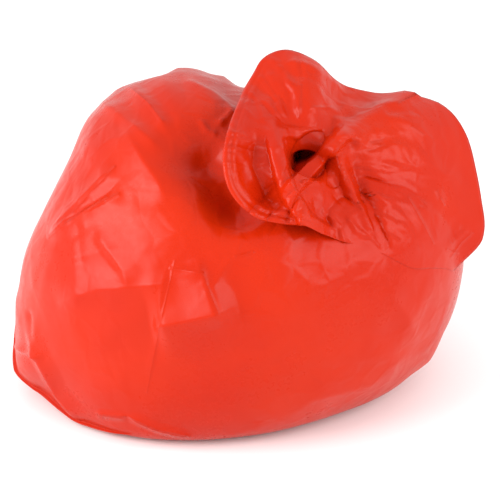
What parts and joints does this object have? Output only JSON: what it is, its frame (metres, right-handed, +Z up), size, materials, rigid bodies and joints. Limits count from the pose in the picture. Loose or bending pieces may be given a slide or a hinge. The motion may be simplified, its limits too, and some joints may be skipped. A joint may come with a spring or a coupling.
{
  "type": "filled bin bag",
  "caption": "Filled plastic bin bag lying on its flat underside, with a gathered neck at the upper front and the mouth spread open past it as a ruffled collar.",
  "frame": {"origin": "on the floor, under the middle of the whole bag", "axes": "+X to the right as seen from the front, along the bag's greatest length, with the base seam at the -X end and the mouth at the +X end; +Y away from the front; +Z up"},
  "size_m": [0.5226, 0.4194, 0.3911],
  "materials": {
    "film": "thin crinkled orange-red polyethylene film with a satin to glossy sheen"
  },
  "bodies": {
    "root": {"bin_bag": "film"}
  },
  "joints": []
}
